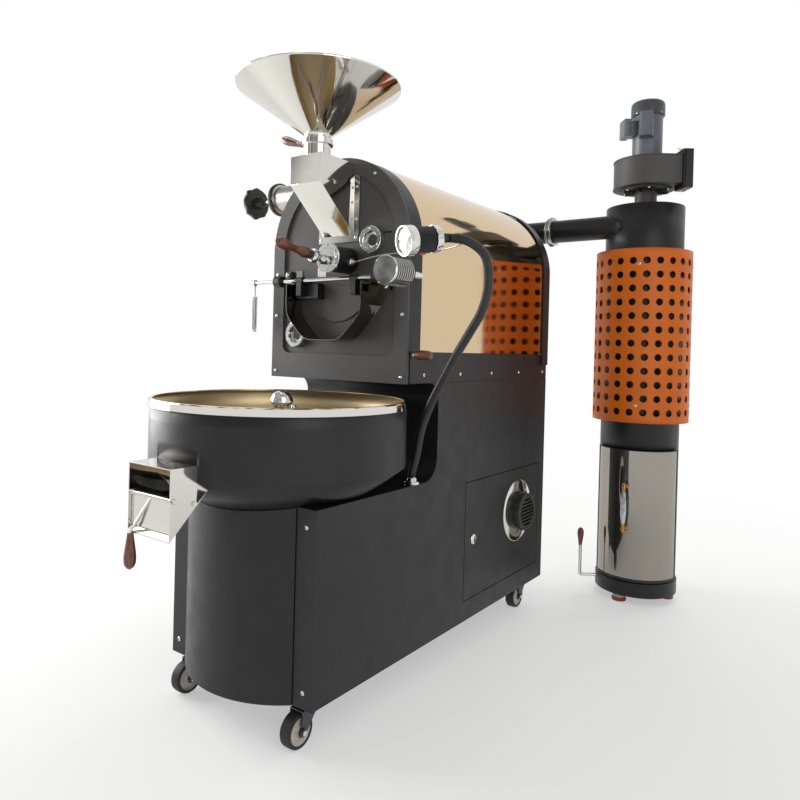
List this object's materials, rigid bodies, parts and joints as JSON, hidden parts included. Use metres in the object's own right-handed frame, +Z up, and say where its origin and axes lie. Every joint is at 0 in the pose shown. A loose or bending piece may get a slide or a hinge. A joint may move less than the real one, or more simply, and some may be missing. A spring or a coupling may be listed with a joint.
{
  "type": "gas coffee roaster",
  "caption": "Floor-standing gas drum coffee roaster with feed hopper, round cooling tray with stirrer, service cabinet on castors and a fan-topped chaff cyclone at the back",
  "frame": {"origin": "centre of the bounding box on the floor, at the bottom of the castors and of the cyclone's feet", "axes": "+Z up; +Y from the cooling tray to the back of the machine, along the drum's axis; +X to the right of someone who stands at the tray"},
  "size_m": [1.1286, 1.967, 1.872],
  "materials": {
    "black_powder_coat": "matt black powder coat",
    "brushed_steel": "brushed and turned stainless steel",
    "polished_steel": "mirror-polished stainless steel and bright chrome",
    "tyre_grey": "dark grey castor tread",
    "cast_iron": "blackened iron",
    "grey_enamel": "grey motor enamel",
    "sight_glass": "clear heat-proof glass",
    "black_plastic": "fine-grained black plastic",
    "turned_wood": "dark reddish varnished hardwood",
    "red_plastic": "gloss red plastic",
    "champagne_steel": "champagne-tinted steel",
    "orange_powder_coat": "matt orange powder coat"
  },
  "bodies": {
    "machine": {"cabinet": "black_powder_coat", "front_bulge": "black_powder_coat", "front_plate": "black_powder_coat", "housing_base": "black_powder_coat", "rear_plate": "black_powder_coat", "sampler_housing": "black_powder_coat", "tray_body": "black_powder_coat", "cyclone_body": "black_powder_coat", "cyclone_base": "black_powder_coat", "fan_volute": "black_powder_coat", "exhaust_pipe": "black_powder_coat", "bulkhead": "brushed_steel", "burner": "brushed_steel", "feed_chute": "brushed_steel", "discharge_trough": "brushed_steel", "damper_tube": "brushed_steel", "housing_cover": "polished_steel", "hopper": "polished_steel", "drum_sight_ring": "polished_steel", "burner_sight_ring": "polished_steel", "tray_rim": "polished_steel", "outlet_box": "polished_steel", "drum_bearing": "cast_iron", "drum_motor": "grey_enamel", "stirrer_motor": "grey_enamel", "cooling_blower": "grey_enamel", "fan_motor": "grey_enamel", "drum_sight_glass": "sight_glass", "burner_sight_glass": "sight_glass", "lamp_lens": "sight_glass", "lamp_body": "black_plastic", "lamp_arm": "black_plastic", "tray_floor": "champagne_steel", "cyclone_jacket": "orange_powder_coat"},
    "castor_swivel_front_left": {"castor_fork_front_left": "brushed_steel"},
    "castor_swivel_front_right": {"castor_fork_front_right": "brushed_steel"},
    "castor_swivel_rear_left": {"castor_fork_rear_left": "brushed_steel"},
    "castor_swivel_rear_right": {"castor_fork_rear_right": "brushed_steel"},
    "wheel_front_left": {"castor_wheel_front_left": "tyre_grey"},
    "wheel_front_right": {"castor_wheel_front_right": "tyre_grey"},
    "wheel_rear_left": {"castor_wheel_rear_left": "tyre_grey"},
    "wheel_rear_right": {"castor_wheel_rear_right": "tyre_grey"},
    "service_door": {"access_door": "black_powder_coat", "side_vent": "black_plastic"},
    "cam_lock": {"door_lock": "polished_steel"},
    "feed_gate": {"slide_gate": "polished_steel"},
    "sample_trier": {"trier": "brushed_steel"},
    "discharge_shaft": {"door_shaft": "brushed_steel", "discharge_door": "black_powder_coat", "lever_grip": "polished_steel", "counterweight": "brushed_steel"},
    "outlet_flap": {"outlet_gate": "brushed_steel"},
    "cooling_stirrer": {"stirrer": "brushed_steel"},
    "roasting_drum": {"drum": "cast_iron"},
    "fan_wheel": {"impeller": "cast_iron"},
    "damper_handwheel": {"damper_wheel": "black_plastic"},
    "pull_knob": {"side_knob": "turned_wood"},
    "lamp_switch": {"lamp_button": "red_plastic"},
    "chaff_hatch": {"cyclone_hatch": "polished_steel"},
    "ash_crank": {"ash_lever": "brushed_steel"}
  },
  "joints": [
    {"name": "swivel_front_left", "type": "hinge", "parent": "machine", "child": "castor_swivel_front_left", "pos_m": [-0.31734, -0.6745, 0.084], "axis": [0, 0, 1], "continuous": true},
    {"name": "roll_front_left", "type": "hinge", "parent": "castor_swivel_front_left", "child": "wheel_front_left", "pos_m": [-0.31734, -0.7085, 0.04], "axis": [1, 0, 0], "continuous": true},
    {"name": "swivel_rear_left", "type": "hinge", "parent": "machine", "child": "castor_swivel_rear_left", "pos_m": [-0.31734, 0.4235, 0.084], "axis": [0, 0, 1], "continuous": true},
    {"name": "roll_rear_left", "type": "hinge", "parent": "castor_swivel_rear_left", "child": "wheel_rear_left", "pos_m": [-0.31734, 0.3895, 0.04], "axis": [1, 0, 0], "continuous": true},
    {"name": "swivel_front_right", "type": "hinge", "parent": "machine", "child": "castor_swivel_front_right", "pos_m": [0.07266, -0.6745, 0.084], "axis": [0, 0, 1], "continuous": true},
    {"name": "roll_front_right", "type": "hinge", "parent": "castor_swivel_front_right", "child": "wheel_front_right", "pos_m": [0.07266, -0.7085, 0.04], "axis": [1, 0, 0], "continuous": true},
    {"name": "swivel_rear_right", "type": "hinge", "parent": "machine", "child": "castor_swivel_rear_right", "pos_m": [0.07266, 0.4235, 0.084], "axis": [0, 0, 1], "continuous": true},
    {"name": "roll_rear_right", "type": "hinge", "parent": "castor_swivel_rear_right", "child": "wheel_rear_right", "pos_m": [0.07266, 0.3895, 0.04], "axis": [1, 0, 0], "continuous": true},
    {"name": "door_swing", "type": "hinge", "parent": "machine", "child": "service_door", "pos_m": [0.12366, 0.4505, 0.3315], "axis": [0, 0, 1], "range_deg": [0, 100]},
    {"name": "lock_turn", "type": "hinge", "parent": "service_door", "child": "cam_lock", "pos_m": [0.12366, -0.0115, 0.3315], "axis": [1, 0, 0], "range_deg": [0, 90]},
    {"name": "gate_slide", "type": "slide", "parent": "machine", "child": "feed_gate", "axis": [-1, 0, 0], "range_m": [0, 0.06]},
    {"name": "trier_slide", "type": "slide", "parent": "machine", "child": "sample_trier", "axis": [0, -0.9903, 0.1392], "range_m": [0, 0.15]},
    {"name": "discharge_swing", "type": "hinge", "parent": "machine", "child": "discharge_shaft", "pos_m": [-0.12234, -0.4265, 1.084], "axis": [1, 0, 0], "range_deg": [-60, 0]},
    {"name": "flap_swing", "type": "hinge", "parent": "machine", "child": "outlet_flap", "pos_m": [-0.12234, -0.9585, 0.573], "axis": [1, 0, 0], "range_deg": [-75, 0]},
    {"name": "stirrer_spin", "type": "hinge", "parent": "machine", "child": "cooling_stirrer", "pos_m": [-0.12234, -0.5865, 0.65], "axis": [0, 0, 1], "continuous": true},
    {"name": "drum_spin", "type": "hinge", "parent": "machine", "child": "roasting_drum", "pos_m": [-0.12234, -0.1165, 1.13], "axis": [0, 1, 0], "continuous": true},
    {"name": "fan_spin", "type": "hinge", "parent": "machine", "child": "fan_wheel", "pos_m": [0.36566, 0.8135, 1.56], "axis": [0, 0, 1], "continuous": true},
    {"name": "damper_turn", "type": "hinge", "parent": "machine", "child": "damper_handwheel", "pos_m": [-0.44434, -0.2965, 1.36], "axis": [-1, 0, 0], "range_deg": [0, 90]},
    {"name": "knob_pull", "type": "slide", "parent": "machine", "child": "pull_knob", "axis": [1, 0, 0], "range_m": [0, 0.04]},
    {"name": "switch_press", "type": "slide", "parent": "machine", "child": "lamp_switch", "axis": [-0.153, 0, 0.9882], "range_m": [0, 0.002], "stiffness_N_per_m": 400},
    {"name": "hatch_swing", "type": "hinge", "parent": "machine", "child": "chaff_hatch", "pos_m": [0.50766, 0.8085, 0.308], "axis": [0, 0, 1], "range_deg": [0, 100]},
    {"name": "crank_turn", "type": "hinge", "parent": "machine", "child": "ash_crank", "pos_m": [0.36566, 0.8135, 0.066], "axis": [0.8028, 0.5962, 0], "range_deg": [0, 90]}
  ]
}
